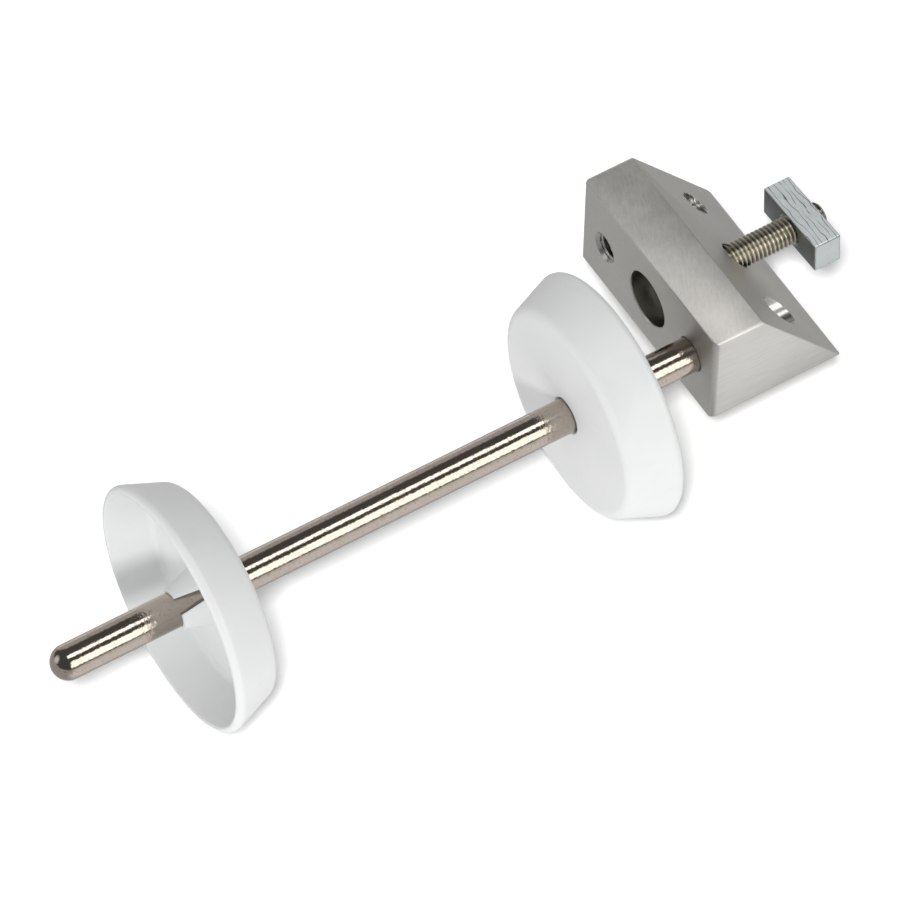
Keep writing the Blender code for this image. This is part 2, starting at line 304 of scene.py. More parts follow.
def thread_tree():
    """A screw thread as one closed skin along +Z, chamfered at both ends."""
    maker = Grower("screw_thread", Length="NodeSocketFloat", Pitch="NodeSocketFloat",
                   Crest="NodeSocketFloat", Root="NodeSocketFloat", Chamfer="NodeSocketFloat",
                   Rows="NodeSocketInt", Columns="NodeSocketInt", Material="NodeSocketMaterial")
    length, pitch, rows = maker.given("Length"), maker.given("Pitch"), maker.given("Rows")
    crest, root, chamfer = maker.given("Crest"), maker.given("Root"), maker.given("Chamfer")
    sheet = maker.node("GeometryNodeMeshGrid", {}, (1.0, 1.0, rows + 1.0, maker.given("Columns") + 1.0))
    across, around, _ = maker.split(maker.node("GeometryNodeInputPosition"))
    row = (across + 0.5) * rows
    turn = around + 0.5
    height = ((row - 1.0) / (rows - 2.0)).larger(0.0).smaller(1.0) * length
    flank = abs((height / pitch - turn).fraction() * 2.0 - 1.0)
    ridge = flank.slope(0.22, 0.86)
    tapered = crest - chamfer + height.smaller(length - height)
    radius = (root + (crest - root) * ridge).smaller(tapered)
    skin = (row > 0.5) * (row < rows - 0.5) * radius
    angle = turn * (2.0 * math.pi)
    point = maker.joined(angle.cosine() * skin, angle.sine() * skin, height)
    wrapped = maker.node("GeometryNodeSetPosition", {}, {0: sheet, 2: point})
    return maker.finish(maker.node("GeometryNodeMergeByDistance", {}, {0: wrapped, 2: WELD}))


def knurl_tree():
    """Straight knurling pressed into the side of a turned head that stands along +Z."""
    maker = Grower("straight_knurl", Radius="NodeSocketFloat", Depth="NodeSocketFloat",
                   Low="NodeSocketFloat", High="NodeSocketFloat", Count="NodeSocketInt",
                   Material="NodeSocketMaterial")
    x, y, z = maker.split(maker.node("GeometryNodeInputPosition"))
    out = maker.size_of(x, y, 0.0)
    turn = maker.node("ShaderNodeMath", {"operation": "ARCTAN2"}, (y, x)) / (2.0 * math.pi)
    groove = abs((turn * maker.given("Count")).fraction() * 2.0 - 1.0)
    on_side = (out > maker.given("Radius") * 0.98) * (z > maker.given("Low")) * (z < maker.given("High"))
    pressed = 1.0 - groove * on_side * maker.given("Depth") / maker.given("Radius")
    point = maker.joined(x * pressed, y * pressed, z)
    return maker.finish(maker.node("GeometryNodeSetPosition", {}, {0: maker.given("Geometry"), 2: point}))


# Mesh work


def placed(name, data):
    """A new object in the scene."""
    made = bpy.data.objects.new(name, data)
    bpy.context.scene.collection.objects.link(made)
    return made


def applied(carrier):
    """A plain mesh of an object with its modifiers applied."""
    return bpy.data.meshes.new_from_object(carrier.evaluated_get(bpy.context.evaluated_depsgraph_get()))


def arc(centre, radius, start, end, steps):
    """Points of an arc as (radius, height) pairs, between two angles in degrees."""
    points = []
    for step in range(steps + 1):
        angle = math.radians(start + (end - start) * step / steps)
        points.append((centre[0] + radius * math.cos(angle), centre[1] + radius * math.sin(angle)))
    return points


def turned(profile, steps):
    """A closed bmesh from (radius, height) points in metres, spun round +Z."""
    shape = bmesh.new()
    rings = []
    for radius, height in profile:
        count = steps if radius > WELD else 1
        angles = [2.0 * math.pi * step / steps for step in range(count)]
        rings.append([shape.verts.new((radius * math.cos(a), radius * math.sin(a), height)) for a in angles])
    pairs = list(zip(rings, rings[1:]))
    if profile[0][0] > WELD:
        pairs.append((rings[-1], rings[0]))
    for low, high in pairs:
        for step in range(steps):
            after = (step + 1) % steps
            corners = [low[step % len(low)], low[after % len(low)],
                       high[after % len(high)], high[step % len(high)]]
            shape.faces.new(list(dict.fromkeys(corners)))
    bmesh.ops.recalc_face_normals(shape, faces=shape.faces)
    return shape


def turn_to(direction):
    """The rotation that takes +Z onto a direction."""
    return UP.rotation_difference(direction).to_matrix().to_4x4()


def at(position, direction=UP):
    """The matrix that stands a shape, made along +Z, at a position and along a direction."""
    return Matrix.Translation(position) @ turn_to(direction)


def mesh_from(shape, name, material, matrix=None):
    """A mesh from a bmesh, moved to its place."""
    mesh = bpy.data.meshes.new(name)
    shape.to_mesh(mesh)
    shape.free()
    mesh.materials.append(material)
    if matrix:
        mesh.transform(matrix)
    return mesh


def boolean(mesh, others, operation):
    """A mesh cut by, or joined with, others: exact Booleans, applied."""
    body = placed("body", mesh)
    partners = [placed("partner", other) for other in others]
    for partner in partners:
        step = body.modifiers.new("step", "BOOLEAN")
        step.operation = operation
        step.solver = "EXACT"
        step.material_mode = "TRANSFER"
        step.object = partner
    result = applied(body)
    for item in [body, *partners]:
        bpy.data.objects.remove(item)
    return result


def tool(profile, steps, material, matrix):
    """A turned tool for cutting holes."""
    return mesh_from(turned(profile, steps), "tool", material, matrix)


def piece(mesh, name, body, node, smooth=SMOOTH_METAL):
    """Show a finished mesh as the piece that stands for a CAD node."""
    mesh.name = name
    mesh.shade_smooth()
    mesh.set_sharp_from_angle(angle=math.radians(smooth))
    shown = placed(name, mesh)
    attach(shown, body)
    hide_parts(node)


# Materials


def milled_aluminium(settings):
    """Satin aluminium: scuffed top, brush lines along the end faces, an even grain elsewhere, and the top
    faces painted lighter as painted light from above.
    """
    finish = Finish("satin_aluminium", Metallic=1.0)
    place = finish.place()
    nx, _, nz = finish.split(finish.facing())
    end = abs(nx).ramp(0.75, 0.95)
    top = abs(nz).ramp(0.85, 0.97)
    elsewhere = 1.0 - end.larger(top)
    cloud = finish.noise(place, 0.12, 3.0, 0.5)
    blotch = finish.noise(place, 0.9, 5.0, 0.7, 0.8)
    skewed = finish.turned_about("Z", place, math.radians(25.0))
    scuffs = finish.streaks(skewed, (0.45, 2.6, 1.0), 4.0)
    brushed = finish.streaks(place, (1.0, 0.16, 3.2), 4.0)
    grain = finish.streaks(place, (1.1, 1.6, 1.6), 3.0)
    texture = (blotch * 0.5 + scuffs * 0.5) * top + brushed * end + grain * elsewhere
    depth = top * 1.5 + end + elsewhere * 0.35
    mark = (texture - 0.5) * depth * settings.mark_contrast
    # Painted light: top * 0.16 makes the upward faces lighter, as if lit from above. The cloud and the
    # milling marks are the metal's own tone.
    shade = 0.98 + top * 0.16 + (cloud - 0.5) * (top * 0.35 + 0.1) + mark
    return finish.wear(
        Base_Color=finish.tinted(settings.colour, shade),
        Roughness=settings.roughness + top * 0.1 + mark * 0.5,
        Normal=finish.bump(texture, 0.006))


def bored_aluminium(settings):
    """The same metal inside a bore, with the faint rings that a boring tool leaves, painted a fifth darker
    than the outer faces as painted shade in the holes.
    """
    finish = Finish("bored_aluminium", Metallic=1.0)
    place = finish.place()
    rings = (finish.split(place)[1] * 9.0).sine()
    stain = finish.noise(place, 0.35, 2.0, 0.5)
    # Painted shade: the factor 0.8 darkens every bore wall against the outer faces. The stain and the rings
    # are the metal's own marks.
    return finish.wear(
        Base_Color=finish.tinted(settings.colour, 0.8 + (stain - 0.5) * 0.2 + rings * 0.02),
        Roughness=0.3 + (stain - 0.5) * 0.12,
        Normal=finish.bump(rings * 0.5 + 0.5, 0.0012))


def nickel_plate(settings):
    """Warm bright nickel over fine pits, which break the edges of what it mirrors."""
    finish = Finish("nickel_plate", Metallic=1.0)
    place = finish.place()
    pits = finish.noise(place, 2.2, 2.0, 0.6)
    drawn = finish.streaks(place, (3.0, 0.2, 3.0))
    bloom = finish.noise(place, 0.12, 3.0, 0.6)
    speck = pits.ramp(0.52, 0.68)
    shade = 0.92 + (bloom - 0.5) * 0.2 + (drawn - 0.5) * 0.1 - speck * settings.pit_contrast
    return finish.wear(
        Base_Color=finish.tinted(settings.colour, shade),
        Roughness=settings.roughness + speck * 0.12 + bloom * 0.05,
        Normal=finish.bump(pits, 0.022))


def white_plastic(settings):
    """Satin white moulded plastic, a little translucent, with faint handling marks."""
    finish = Finish("white_plastic", IOR=1.49, Subsurface_Weight=0.12, Subsurface_Scale=1.5 * MM)
    finish.shader.inputs["Subsurface Radius"].default_value = (1.0, 0.95, 0.9)
    place = finish.place()
    cloud = finish.noise(place, 0.07, 2.0, 0.5)
    smudge = finish.noise(place, 0.22, 4.0, 0.6, 0.6).ramp(0.5, 0.8)
    skin = finish.noise(place, 2.4, 2.0, 0.5)
    return finish.wear(
        Base_Color=finish.tinted(settings.colour, 1.0 + (cloud - 0.5) * 0.02 - smudge * 0.03),
        Roughness=settings.roughness + (skin - 0.5) * 0.06 + smudge * 0.06,
        Normal=finish.bump(skin, 0.0025))


def thread_steel(settings):
    """Rolled steel thread along the Y axis, light on the crests and dark down in the roots, partly grime and
    partly painted shade.
    """
    finish = Finish("screw_steel", Metallic=1.0)
    place = finish.place()
    x, _, z = finish.split(place)
    # Darker towards the roots, down to 0.3 of the colour: partly grime and partly painted shade in the
    # thread's grooves.
    root_grime_and_shade = finish.size_of(x, 0.0, z).ramp(settings.root_radius / MM, settings.crest_radius / MM, 0.3, 1.0)
    stain = finish.noise(place, 1.1, 4.0, 0.6)
    return finish.wear(
        Base_Color=finish.tinted(settings.colour, root_grime_and_shade * (0.86 + stain * 0.25)),
        Roughness=0.22 + stain * 0.16,
        Normal=finish.bump(finish.noise(place, 6.0, 3.0), 0.004))


def zinc_bar(settings):
    """Zinc plated drawn bar: dark draw lines along its top and bottom, with painted light and shade on its
    faces: the top and bottom painted lighter, the seats and sheared ends painted darker, the far and right
    edges painted dark.
    """
    finish = Finish("zinc_plate", Metallic=1.0)
    place = finish.turned_about("Y", finish.place(), settings.turn)
    nx, ny, nz = finish.split(finish.turned_about("Y", finish.facing(), settings.turn))
    drawn_side = abs(nz).ramp(0.7, 0.95)
    seat = abs(ny).ramp(0.7, 0.95)
    end = abs(nx).ramp(0.7, 0.95)
    x, y, _ = finish.split(place)
    drift = finish.noise(finish.joined(x * 0.16, y * 0.35, 0.0), 1.0, 2.0)
    fade = finish.noise(finish.joined(x * 0.25, y * 1.2, 3.0), 1.0, 1.0).ramp(0.35, 0.5)
    line = abs((y * 1.1 + drift * 2.4).fraction() - 0.5)
    scored = (1.0 - line.ramp(0.02, 0.085)) * fade * drawn_side
    corner = 1.0 - abs(nx).larger(abs(ny)).larger(abs(nz)).ramp(0.82, 0.97)
    # Painted shade: the bevelled edges that face +X and +Y are darkened, a dark outline on the far and right
    # edges only.
    outline = corner * (nx + ny).ramp(0.3, 0.7)
    fine = finish.streaks(place, (0.12, 4.0, 4.0), 3.0)
    cloud = finish.noise(place, 0.5, 4.0, 0.6)
    # Painted light and shade: drawn_side * 0.12 lightens the top and bottom, and the next line paints the
    # seats and the ends darker. The cloud and the fine streaks are the zinc's own tone.
    shade = 0.9 + drawn_side * 0.12 + (cloud - 0.5) * 0.2 + (fine - 0.5) * drawn_side * 0.3
    shade = shade - seat * settings.seat_painted_shade - end * 0.2 - outline * 0.7
    shade = shade - scored * settings.score_depth
    return finish.wear(
        Base_Color=finish.tinted(settings.colour, shade),
        Metallic=1.0 - drawn_side * 0.55,
        Roughness=0.34 + cloud * 0.12 + scored * 0.2,
        Normal=finish.bump(fine * drawn_side + cloud * (1.0 - drawn_side) - scored * 0.6, 0.02))


def black_oxide(settings):
    """Blackened steel with a thin oily sheen."""
    finish = Finish("black_steel", Metallic=1.0)
    place = finish.place()
    cloud = finish.noise(place, 2.0, 3.0, 0.6)
    return finish.wear(
        Base_Color=finish.tinted(settings.colour, 0.8 + cloud * 0.5),
        Roughness=0.36 + cloud * 0.16,
        Normal=finish.bump(cloud, 0.004))


def floor_white():
    """A smooth pale studio floor."""
    finish = Finish("studio_floor", Roughness=0.9)
    cloud = finish.noise(finish.place(), 0.002, 2.0)
    return finish.wear(Base_Color=finish.tinted((0.95, 0.95, 0.95), 0.995 + cloud * 0.01))


# Settings


def length(name, description, millimetres):
    """A length property with its default in millimetres."""
    return FloatProperty(name=name, description=description, default=millimetres * MM, min=0.0,
                         precision=5, subtype="DISTANCE", unit="LENGTH")


def share(name, description, default):
    """A plain number from 0 to 1."""
    return FloatProperty(name=name, description=description, default=default, min=0.0, max=1.0)


def colour(name, description, default):
    """A colour property."""
    return FloatVectorProperty(name=name, description=description, default=default, size=3,
                               min=0.0, max=1.0, subtype="COLOR")


def level(name, description, default):
    """A light's brightness or power."""
    return FloatProperty(name=name, description=description, default=default, min=0.0)


def angle(name, description, degrees):
    """An angle property with its default in degrees."""
    return FloatProperty(name=name, description=description, default=math.radians(degrees),
                         subtype="ANGLE", unit="ROTATION")


class SPOOL_PG_block(bpy.types.PropertyGroup):
    """Sizes and finish of the mounting block."""

    corner_chamfer: length("Corner chamfer", "Chamfer of the two upright front corners", 0.8)
    end_chamfer: length("End chamfer", "Chamfer of the level edges of the end faces", 0.45)
    edge_break: length("Edge break", "Small bevel on every other edge", 0.15)
    counterbore_radius: length("Counterbore radius", "Radius of the clamp screw's counterbore", 5.1)
    counterbore_depth: length("Counterbore depth", "Depth of the counterbore", 9.0)
    clearance_radius: length("Clearance radius", "Radius of the hole round the clamp screw", 2.75)
    rod_bore_radius: length("Rod bore radius", "Radius of the bore that holds the rod", 3.08)
    mouth_chamfer: length("Mouth chamfer", "Edge break at the mouth of each front hole", 0.18)
    tapped_x: FloatProperty(name="Tapped hole offset", description="Tapped hole's place along X",
                            default=-13.0 * MM, unit="LENGTH")
    tapped_z: FloatProperty(name="Tapped hole height", description="Tapped hole's place along Z",
                            default=-0.6 * MM, unit="LENGTH")
    tapped_root: length("Tapped root radius", "Outer radius of the tapped thread", 2.5)
    tapped_crest: length("Tapped crest radius", "Inner radius of the tapped thread", 2.1)
    grub_hole_radius: length("Grub hole radius", "Radius of the hole under the rod", 2.0)
    colour: colour("Colour", "Colour of the aluminium", (0.62, 0.61, 0.585))
    roughness: share("Roughness", "Roughness of the outer faces", 0.46)
    mark_contrast: share("Mark contrast", "How strongly the milling marks show", 0.45)


class SPOOL_PG_rod(bpy.types.PropertyGroup):
    """Sizes and finish of the rod."""

    end_chamfer: length("End chamfer", "Chamfer of the end inside the block", 0.4)
    colour: colour("Colour", "Colour of the plating", (0.50, 0.435, 0.375))
    roughness: share("Roughness", "Roughness of the plating", 0.07)
    pit_contrast: share("Pit contrast", "How dark the pits in the plating are", 0.14)


class SPOOL_PG_cones(bpy.types.PropertyGroup):
    """Sizes and finish of the two centring cones."""

    nose_radius: length("Nose radius", "Radius of the cone's side at its closed face", 18.6)
    rim_radius: length("Rim radius", "Radius of the cone's side at its open rim", 22.2)
    nose_rounding: length("Nose rounding", "Radius of the closed face's edge", 2.0)
    rim_rounding: length("Rim rounding", "Radius of the rim's outer edge", 1.1)
    wall: length("Wall", "Thickness of the conical wall", 1.6)
    floor: length("Floor", "Thickness of the closed face", 1.8)
    inner_fillet: length("Inner fillet", "Fillet between the wall and the floor", 1.4)
    bore_radius: length("Bore radius", "Radius of the hub's bore", 3.08)
    hub_end_radius: length("Hub end radius", "Outer radius of the hub at its free end", 3.55)
    hub_root_radius: length("Hub root radius", "Outer radius of the hub near the floor", 5.1)
    hub_length: length("Hub height", "Height of the hub's end above the closed face", 8.4)
    slit_mouth: length("Slit mouth", "Width of each slit at the hub's end", 2.8)
    slit_root: length("Slit root", "Width of each slit at the floor", 1.3)
    slits: IntProperty(name="Slits", description="Number of slits in the hub", default=3, min=1)
    slit_turn: angle("Slit direction", "Direction of the first slit, from +X towards +Z", 60.0)
    colour: colour("Colour", "Colour of the plastic", (0.702, 0.715, 0.710))
    roughness: share("Roughness", "Roughness of the moulded skin", 0.42)


class SPOOL_PG_screw(bpy.types.PropertyGroup):
    """Sizes and finish of the clamp screw."""

    pitch: length("Pitch", "Thread pitch", 0.8)
    crest_radius: length("Crest radius", "Outer radius of the thread", 2.45)
    root_radius: length("Root radius", "Inner radius of the thread", 2.0)
    tip_chamfer: length("Tip chamfer", "Chamfer of the thread's point", 0.5)
    head_height: length("Head height", "Height of the socket head", 5.0)
    knurl_depth: length("Knurl depth", "Depth of the knurling", 0.14)
    knurl_count: IntProperty(name="Knurls", description="Ridges round the head", default=44, min=3)
    socket_width: length("Socket width", "Hexagon socket, across its flats", 4.0)
    socket_depth: length("Socket depth", "Depth of the hexagon socket", 2.5)
    colour: colour("Colour", "Colour of the steel", (0.76, 0.72, 0.60))


class SPOOL_PG_nut(bpy.types.PropertyGroup):
    """Sizes and finish of the slot nut."""

    length: length("Length", "Length of the nut", 15.5)
    width: length("Width", "Width of the nut across the slot", 6.0)
    edge_break: length("Edge break", "Rounding of the nut's edges", 0.28)
    hole_radius: length("Hole radius", "Radius of the nut's hole", 2.5)
    countersink: length("Countersink", "Depth of the countersinks", 0.35)
    turn: angle("Turn", "How far the nut is turned on the screw", -4.0)
    colour: colour("Colour", "Colour of the zinc", (0.74, 0.78, 0.79))
    score_depth: share("Score depth", "How dark the draw lines are", 0.85)
    # Painted shade on the clamping faces: they are only darker in colour, not a finish of their own.
    seat_painted_shade: share("Seat dulling", "How much darker the clamping faces are", 0.42)


class SPOOL_PG_grub(bpy.types.PropertyGroup):
    """Sizes and finish of the grub screw that holds the rod."""

    pitch: length("Pitch", "Thread pitch", 0.7)
    crest_radius: length("Crest radius", "Outer radius of the thread", 1.9)
    root_radius: length("Root radius", "Inner radius of the thread", 1.5)
    chamfer: length("Chamfer", "Chamfer of both ends", 0.3)
    socket_width: length("Socket width", "Hexagon socket, across its flats", 2.0)
    socket_depth: length("Socket depth", "Depth of the hexagon socket", 1.8)
    colour: colour("Colour", "Colour of the blackened steel", (0.06, 0.06, 0.062))


class SPOOL_PG_stage(bpy.types.PropertyGroup):
    """Camera, floor and lights."""

    distance: length("Distance", "Distance of the camera from its aim", 1312.5)
    lens: FloatProperty(name="Lens", description="Focal length in millimetres", default=325.4)
    azimuth: angle("Azimuth", "Direction of the camera round +Z, from -Y towards +X", 57.16)
    elevation: angle("Elevation", "Height of the camera above the horizon", 53.97)
    roll: angle("Roll", "Turn of the camera about its own axis", 1.29)
    floor_gap: length("Floor gap", "Gap between the cones and the floor", 0.3)
    sky_level: level("Sky", "Brightness of the sky for matt surfaces", 0.37)
    wall_level: level("Walls", "Brightness of the walls that metal reflects", 0.1)
    ground_level: level("Ground", "Brightness of the ground that metal reflects", 0.53)
    low_glow: level("Low glow", "Bright ground that the end face reflects", 0.55)
    left_glow: level("Left glow", "Bright wall on the left that the rod reflects", 0.5)
    front_glow: level("Front glow", "Bright wall in front that the front edge reflects", 0.9)
    overhead_power: level("Overhead power", "Power of the overhead strip in watts", 4.8)
    side_power: level("Side power", "Power of the side strip in watts", 9.0)
    overhead_soft: level("Overhead soft light", "Power of the overhead soft light in watts", 5.2)
    side_soft: level("Side soft light", "Power of the side soft light in watts", 3.4)
    camera_power: level("Camera fill power", "Power of the fill by the camera in watts", 17.0)
    fill_power: level("Front fill power", "Power of the front fill in watts", 2.0)
    floor_power: level("Floor power", "Power of the light on the floor in watts", 51.0)


# Pieces


def same(first, second):
    """True for two lengths that agree to a hundredth of a millimetre."""
    return abs(first - second) < 0.01 * MM


def bevel(shape, chosen, width, segments=1):
    """Bevel the edges that pass a test."""
    edges = [edge for edge in shape.edges if chosen(edge)]
    bmesh.ops.bevel(shape, geom=edges, offset=width, segments=segments, affect="EDGES", profile=0.5,
                    clamp_overlap=True)


def block_blank(settings):
    """The block before drilling: a right trapezoid along X, with its chamfers and edge breaks."""
    low, high = BLOCK_LOW, BLOCK_HIGH
    outline = [(low.y, low.z), (high.y, low.z), (TOP_BACK_Y, high.z), (low.y, high.z)]
    shape = bmesh.new()
    end_face = shape.faces.new([shape.verts.new((low.x, y, z)) for y, z in outline])
    grown = bmesh.ops.extrude_face_region(shape, geom=[end_face])
    moved = [item for item in grown["geom"] if isinstance(item, bmesh.types.BMVert)]
    bmesh.ops.translate(shape, verts=moved, vec=(high.x - low.x, 0.0, 0.0))
    bmesh.ops.recalc_face_normals(shape, faces=shape.faces)

    def upright_front(edge):
        a, b = (vert.co for vert in edge.verts)
        return same(a.y, low.y) and same(b.y, low.y) and same(a.x, b.x)

    def level_end(edge):
        a, b = (vert.co for vert in edge.verts)
        on_end = same(a.x, b.x) and (same(a.x, low.x) or same(a.x, high.x))
        return on_end and same(a.z, b.z)

    def sharp(edge):
        return edge.calc_face_angle(0.0) > math.radians(20.0)

    bevel(shape, upright_front, settings.corner_chamfer)
    bevel(shape, level_end, settings.end_chamfer)
    bevel(shape, sharp, settings.edge_break)
    return shape


def bore_profile(radius, depth, chamfer):
    """Section of a drill that starts outside a face, with an edge break at the mouth."""
    return [(0.0, -PAST), (radius + chamfer, -PAST), (radius + chamfer, 0.0), (radius, chamfer),
            (radius, depth), (0.0, depth)]


def counterbore_profile(settings, depth):
    """Section of the stepped hole for the clamp screw and its head."""
    wide, narrow, floor = settings.counterbore_radius, settings.clearance_radius, settings.counterbore_depth
    corner, edge = 0.2 * MM, 0.1 * MM
    socket = bore_profile(wide, floor - corner, settings.mouth_chamfer)[:-1]
    return socket + [(wide - corner, floor), (narrow + edge, floor), (narrow, floor + edge),
                     (narrow, depth), (0.0, depth)]


def tap(settings, material, mouth, depth):
    """The two tools that leave the tapped hole: one for its mouth and one for its thread."""
    countersink, lead = settings.tapped_root + 0.4 * MM - settings.tapped_crest, 2.0 * MM
    opening = tool(bore_profile(settings.tapped_crest, 1.0 * MM, countersink), BORE_STEPS, material,
                   at(mouth, TO_RAIL))
    thread = grow(thread_tree(), Length=depth + 2.0 * lead, Pitch=0.8 * MM, Crest=settings.tapped_root,
                  Root=settings.tapped_crest, Chamfer=0.2 * MM, Rows=360, Columns=48, Material=material)
    thread.transform(at(mouth - lead * TO_RAIL, TO_RAIL))
    return [opening, thread]


def build_block(settings):
    """The drilled and tapped block."""
    outer, bored = milled_aluminium(settings), bored_aluminium(settings)
    blank = mesh_from(block_blank(settings), "mounting_block", outer)
    front, depth = BLOCK_LOW.y, BLOCK_HIGH.y - BLOCK_LOW.y
    through = depth + PAST
    rod_bore = bore_profile(settings.rod_bore_radius, through, settings.mouth_chamfer)
    grub_hole = bore_profile(settings.grub_hole_radius, -BLOCK_LOW.z, 0.3 * MM)
    opening, thread = tap(settings, bored, Vector((settings.tapped_x, front, settings.tapped_z)), depth)
    tools = [
        tool(counterbore_profile(settings, through), BORE_STEPS, bored,
             at(Vector((0.0, front, 0.0)), TO_RAIL)),
        tool(rod_bore, BORE_STEPS, bored, at(Vector((ROD_X, front, 0.0)), TO_RAIL)),
        opening,
        tool(grub_hole, 48, bored, at(Vector((ROD_X, GRUB_Y, BLOCK_LOW.z)))),
        thread,
    ]
    piece(boolean(blank, tools, "DIFFERENCE"), "block_machined", "block", "mounting_block")


def build_rod(settings):
    """The plated rod, domed at its free end."""
    radius = (ROD_HIGH.x - ROD_LOW.x) / 2
    reach = ROD_HIGH.y - ROD_LOW.y
    profile = [(0.0, 0.0), (radius - settings.end_chamfer, 0.0), (radius, settings.end_chamfer)]
    profile += arc((0.0, reach - radius), radius, 0.0, 90.0, 24)
    profile[-1] = (0.0, reach)
    mesh = mesh_from(turned(profile, 128), "rod", nickel_plate(settings),
                     at(Vector((ROD_X, ROD_HIGH.y, 0.0)), TO_TIP))
    piece(mesh, "rod_plated", "rod", "spool_rod")


def cup_profile(settings, depth):
    """Section of a cone without its hub, as a closed loop of (radius, height) points."""
    lean = math.atan2(settings.rim_radius - settings.nose_radius, depth)
    degrees = math.degrees(lean)

    def side(height, inset):
        """Radius of the cone's side, moved inwards square to itself."""
        return settings.nose_radius + height * math.tan(lean) - inset / math.cos(lean)

    nose, rim = settings.nose_rounding, settings.rim_rounding
    lip = (settings.wall - rim) * 0.85
    corner_height = settings.floor + settings.inner_fillet
    bore = settings.bore_radius + 0.08 * MM
    outside = arc((side(nose, nose), nose), nose, -90.0, -degrees, 12)
    outside += arc((side(depth - rim, rim), depth - rim), rim, -degrees, 90.0, 8)
    inside = arc((side(depth - lip, settings.wall) + lip, depth - lip), lip, 90.0, 180.0 - degrees, 8)
    inside += arc((side(corner_height, settings.wall + settings.inner_fillet), corner_height),
                  settings.inner_fillet, -degrees, -90.0, 10)
    hole = [(bore, settings.floor), (bore, 0.25 * MM), (bore + 0.25 * MM, 0.0)]
    return outside + inside + hole


def lobe_section(settings, inset):
    """Section of the hub's wall as (radius, height) points, moved inwards by an inset."""
    top = settings.hub_length - inset
    inner, outer = settings.bore_radius + inset, settings.hub_end_radius - inset
    root = settings.hub_root_radius - inset
    flare = 1.3 * MM
    buried = settings.floor - 0.4 * MM
    fillet = arc((root + flare, settings.floor + flare), flare, 180.0, 255.0, 6)
    return [(inner, buried), (inner, top), (outer, top)] + fillet + [(fillet[-1][0], buried)]


def add_lobe(shape, settings, start, end):
    """One lobe of the split hub, between the middles of two slits, with rounded slit edges."""
    edge, spans = 0.1 * MM, 16
    ends = [(0.0, edge), (0.3 * edge, 0.3 * edge), (edge, 0.0)]
    columns = [(gap, inset, 0.0) for gap, inset in ends]
    columns += [(edge, 0.0, step / spans) for step in range(1, spans)]
    columns += [(gap, inset, 1.0) for gap, inset in reversed(ends)]
    floor, top = settings.floor, settings.hub_length
    rings = []
    for gap, inset, along in columns:
        ring = []
        for radius, height in lobe_section(settings, inset):
            rise = max(0.0, min(1.0, (height - floor) / (top - floor)))
            half = (settings.slit_root + (settings.slit_mouth - settings.slit_root) * rise) / 2 + gap
            off = math.asin(half / radius)
            turn = (start + off) * (1.0 - along) + (end - off) * along
            ring.append(shape.verts.new((radius * math.cos(turn), radius * math.sin(turn), height)))
        rings.append(ring)
    shape.faces.new(rings[0])
    shape.faces.new(rings[-1])
    count = len(rings[0])
    for low, high in zip(rings, rings[1:]):
        for index in range(count):
            after = (index + 1) % count
            shape.faces.new((low[index], low[after], high[after], high[index]))


def build_cone(settings, node, opening, material):
    """One centring cone: a cup with a split, tapered hub that grips the rod."""
    low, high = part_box(node)
    depth = high.y - low.y
    nose_y = high.y if opening is TO_TIP else low.y
    matrix = at(Vector((ROD_X, nose_y, 0.0)), opening)
    wanted = Vector((math.cos(settings.slit_turn), 0.0, math.sin(settings.slit_turn)))
    first = turn_to(opening).inverted() @ wanted
    start = math.atan2(first.y, first.x)
    cup = mesh_from(turned(cup_profile(settings, depth), 160), node, material)
    hub = bmesh.new()
    step = 2.0 * math.pi / settings.slits
    for index in range(settings.slits):
        add_lobe(hub, settings, start + index * step, start + (index + 1) * step)
    bmesh.ops.recalc_face_normals(hub, faces=hub.faces)
    whole = boolean(cup, [mesh_from(hub, "hub", material)], "UNION")
    whole.transform(matrix)
    piece(whole, node + "_moulded", node, node)


def hexagon(width, depth, material, matrix):
    """A six-sided tool for a hexagon socket, with a drill point at its end."""
    radius = width / 2 / math.cos(math.pi / 6)
    point = radius * 0.35
    return tool([(0.0, -MM), (radius, -MM), (radius, depth), (0.0, depth + point)], 6, material, matrix)


def build_screw(settings):
    """The socket head cap screw with its rolled thread and knurled head."""
    steel = thread_steel(settings)
    head_radius = (SCREW_HIGH.x - SCREW_LOW.x) / 2
    top = settings.head_height
    seat = SCREW_LOW.y + top
    chamfer, edge = 0.35 * MM, 0.1 * MM
    knurl_low, knurl_high, columns_per_ridge = 0.8 * MM, top - 0.5 * MM, 6
    profile = [(0.0, 0.0), (head_radius - chamfer, 0.0), (head_radius, chamfer), (head_radius, knurl_low),
               (head_radius, knurl_high), (head_radius, top - edge), (head_radius - edge, top), (0.0, top)]
    head = mesh_from(turned(profile, settings.knurl_count * columns_per_ridge), "head", steel)
    head = grow(knurl_tree(), head, Radius=head_radius, Depth=settings.knurl_depth,
                Low=knurl_low - 2.0 * edge, High=knurl_high + 2.0 * edge, Count=settings.knurl_count,
                Material=steel)
    socket = hexagon(settings.socket_width, settings.socket_depth, steel, Matrix())
    head = boolean(head, [socket], "DIFFERENCE")
    head.transform(at(Vector((0.0, SCREW_LOW.y, 0.0)), TO_RAIL))
    buried = 0.6 * MM
    reach = SCREW_HIGH.y - seat + buried
    shank = grow(thread_tree(), Length=reach, Pitch=settings.pitch, Crest=settings.crest_radius,
                 Root=settings.root_radius, Chamfer=settings.tip_chamfer,
                 Rows=int(reach / settings.pitch * THREAD_ROWS), Columns=64, Material=steel)
    shank.transform(at(Vector((0.0, seat - buried, 0.0)), TO_RAIL))
    piece(boolean(head, [shank], "UNION"), "clamp_screw_threaded", "clamp_screw",
          "clamp_screw", SMOOTH_THREAD)


